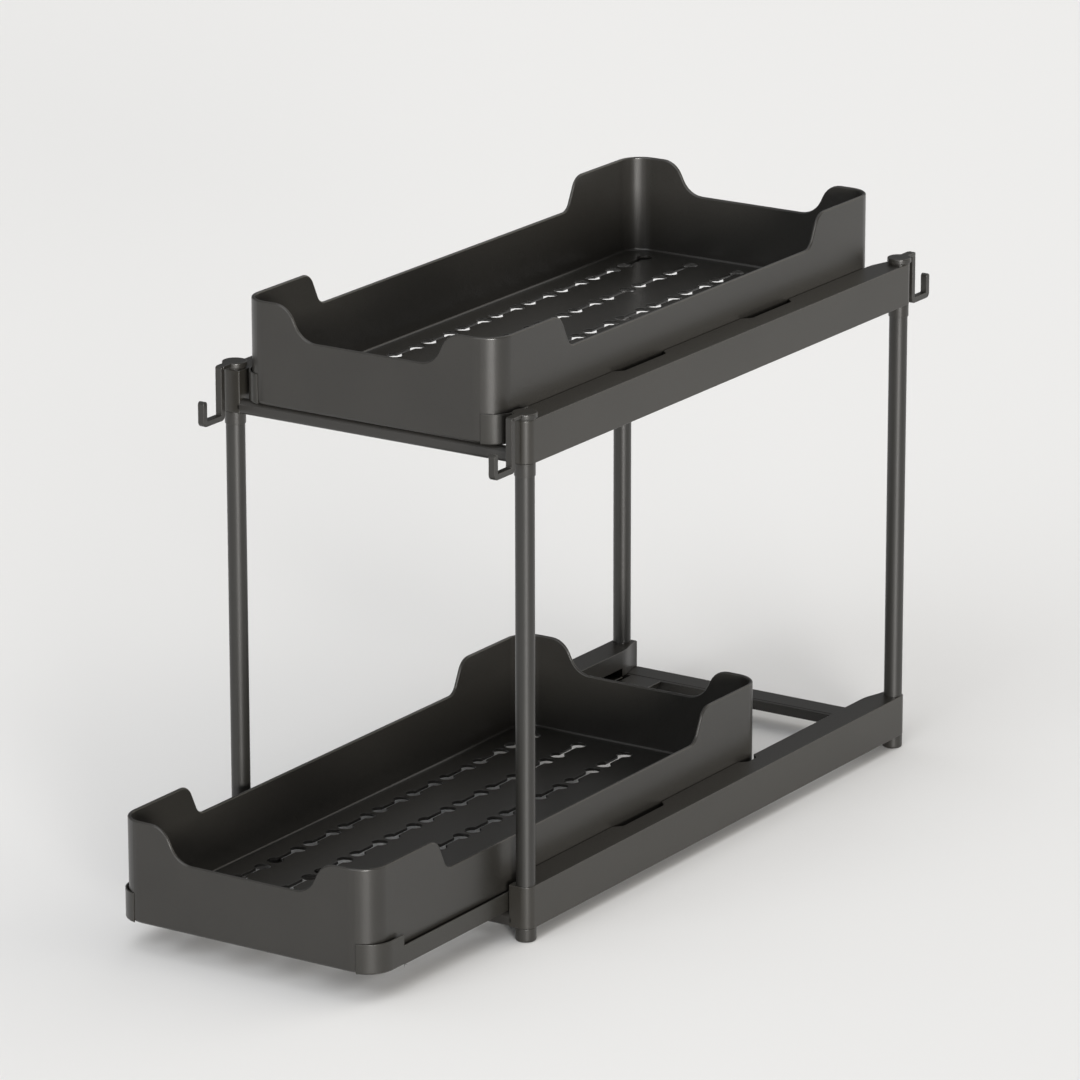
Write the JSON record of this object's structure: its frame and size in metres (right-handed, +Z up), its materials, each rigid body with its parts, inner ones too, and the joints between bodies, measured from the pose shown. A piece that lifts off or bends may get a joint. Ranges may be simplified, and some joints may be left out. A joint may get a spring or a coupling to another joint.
{
  "type": "under sink organizer",
  "caption": "Two-tier pull-out organizer with slotted baskets that slide in side rails on tube posts, with plug-in hooks.",
  "frame": {"origin": "on the floor, midway between the four feet", "axes": "+Z up, -Y towards the front where the drawers come out, +X to the right"},
  "size_m": [0.1984, 0.5425, 0.3291],
  "materials": {
    "rail": "fine matte moulded texture",
    "post": "satin powder coat",
    "collar": "fine matte moulded texture",
    "foot": "fine matte moulded texture",
    "bar": "fine matte moulded texture",
    "beam": "fine matte moulded texture",
    "hook": "fine matte moulded texture",
    "basket": "fine matte moulded texture",
    "runner": "fine matte moulded texture"
  },
  "bodies": {
    "frame": {"lower_left_rail": "rail", "lower_right_rail": "rail", "upper_left_rail": "rail", "upper_right_rail": "rail", "front_left_post": "post", "front_right_post": "post", "rear_left_post": "post", "rear_right_post": "post", "front_left_collar": "collar", "front_right_collar": "collar", "rear_left_collar": "collar", "rear_right_collar": "collar", "front_left_foot": "foot", "front_right_foot": "foot", "rear_left_foot": "foot", "rear_right_foot": "foot", "lower_front_bar": "bar", "upper_front_bar": "bar", "lower_rear_beam": "beam", "upper_rear_beam": "beam", "front_left_hook": "hook", "front_right_hook": "hook", "rear_left_hook": "hook", "rear_right_hook": "hook"},
    "upper_drawer": {"upper_basket": "basket", "upper_left_runner": "runner", "upper_right_runner": "runner"},
    "lower_drawer": {"lower_basket": "basket", "lower_left_runner": "runner", "lower_right_runner": "runner"}
  },
  "joints": [
    {"name": "upper_slide", "type": "slide", "parent": "frame", "child": "upper_drawer", "axis": [0, -1, 0], "range_m": [0, 0.24]},
    {"name": "lower_slide", "type": "slide", "parent": "frame", "child": "lower_drawer", "axis": [0, -1, 0], "range_m": [-0.1177, 0.1223]}
  ]
}
